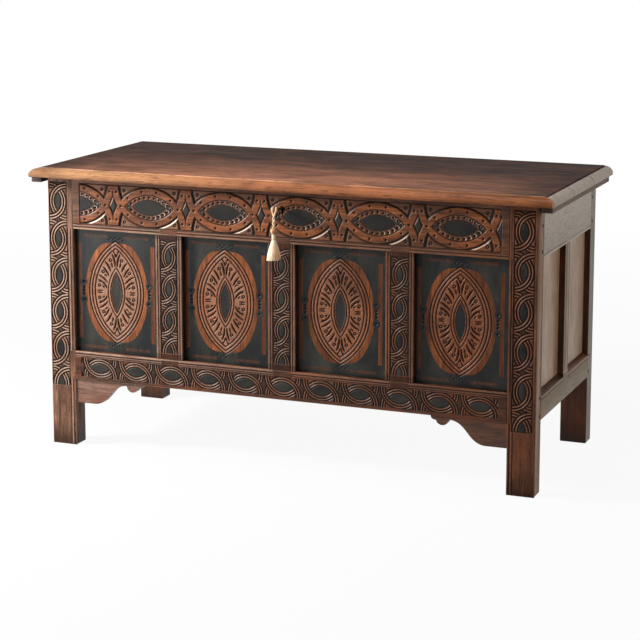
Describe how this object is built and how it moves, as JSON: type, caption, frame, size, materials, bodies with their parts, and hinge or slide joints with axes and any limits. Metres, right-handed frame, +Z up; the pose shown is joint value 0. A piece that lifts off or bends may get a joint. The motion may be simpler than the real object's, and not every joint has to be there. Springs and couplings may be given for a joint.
{
  "type": "coffer chest",
  "caption": "Joined oak coffer chest: carved frame-and-panel front, plank lid on strap hinges, iron chest lock with a ring key and a hanging tassel.",
  "frame": {"origin": "on the floor, in the middle of the box that holds the closed chest with its key in the lock", "axes": "+X along the front to the right, +Y from the carved front to the back, +Z up"},
  "size_m": [1.484, 0.687, 0.784],
  "materials": {
    "carved_oak": "dark waxed oak, carved, with ebonised grounds",
    "lid_oak": "dark waxed oak planks, worn lighter on the front nosing",
    "frame_oak": "dark waxed oak, plain",
    "floor_oak": "dry unwaxed boards",
    "peg_oak": "dark end grain",
    "iron": "wrought iron, dark and dry",
    "key_brass": "old bronze-brown brass, rubbed bright on the bow",
    "tassel_cord": "twisted silk cord",
    "tassel_thread": "fine hanging threads"
  },
  "bodies": {
    "carcass": {"bracket_left": "frame_oak", "bracket_right": "frame_oak", "carcass_iron_nails": "iron", "draw_pegs": "peg_oak", "floor_board_1": "floor_oak", "floor_board_2": "floor_oak", "floor_board_3": "floor_oak", "floor_board_4": "floor_oak", "hinge_pins": "iron", "hinge_plate_left": "iron", "hinge_plate_right": "iron", "lock_case": "iron", "lock_cover": "iron", "muntin_front_left": "carved_oak", "muntin_front_middle": "carved_oak", "muntin_front_right": "carved_oak", "muntin_rear_left": "frame_oak", "muntin_rear_middle": "frame_oak", "muntin_rear_right": "frame_oak", "muntin_side_left": "frame_oak", "muntin_side_right": "frame_oak", "panel_front_inner_left": "carved_oak", "panel_front_inner_right": "carved_oak", "panel_front_outer_left": "carved_oak", "panel_front_outer_right": "carved_oak", "panel_left_front": "frame_oak", "panel_left_rear": "frame_oak", "panel_rear_inner_left": "frame_oak", "panel_rear_inner_right": "frame_oak", "panel_rear_outer_left": "frame_oak", "panel_rear_outer_right": "frame_oak", "panel_right_front": "frame_oak", "panel_right_rear": "frame_oak", "rail_front_bottom": "carved_oak", "rail_front_top": "carved_oak", "rail_left_bottom": "frame_oak", "rail_left_top": "frame_oak", "rail_rear_bottom": "frame_oak", "rail_rear_top": "frame_oak", "rail_right_bottom": "frame_oak", "rail_right_top": "frame_oak", "stile_front_left": "carved_oak", "stile_front_right": "carved_oak", "stile_rear_left": "frame_oak", "stile_rear_right": "frame_oak"},
    "lid": {"cleat_nails": "iron", "hinge_strap_left": "iron", "hinge_strap_right": "iron", "lid_cleat_left": "lid_oak", "lid_cleat_right": "lid_oak", "lid_iron_nails": "iron", "lid_plank_front": "lid_oak", "lid_plank_middle": "lid_oak", "lid_plank_rear": "lid_oak", "lid_staple": "iron"},
    "key": {"key": "key_brass"},
    "bolt": {"lock_bolt": "iron"},
    "tassel": {"tassel_cord": "tassel_cord", "tassel_knot": "tassel_cord", "tassel_skirt": "tassel_thread"}
  },
  "joints": [
    {"name": "lid_hinge", "type": "hinge", "parent": "carcass", "child": "lid", "pos_m": [0, 0.3175, 0.7528], "axis": [-1, 0, 0], "range_deg": [0, 100]},
    {"name": "key_turn", "type": "hinge", "parent": "carcass", "child": "key", "pos_m": [0.003, -0.278, 0.711], "axis": [0, 1, 0], "range_deg": [0, 45]},
    {"name": "bolt_slide", "type": "slide", "parent": "carcass", "child": "bolt", "axis": [-1, 0, 0], "range_m": [0, 0.0105]},
    {"name": "tassel_swing", "type": "hinge", "parent": "key", "child": "tassel", "pos_m": [0.003, -0.3246, 0.713], "axis": [0, 1, 0], "range_deg": [-45, 45]}
  ],
  "couplings": [
    {"joint": "bolt_slide", "follows": "key_turn", "m_per_rad": 0.01336}
  ]
}
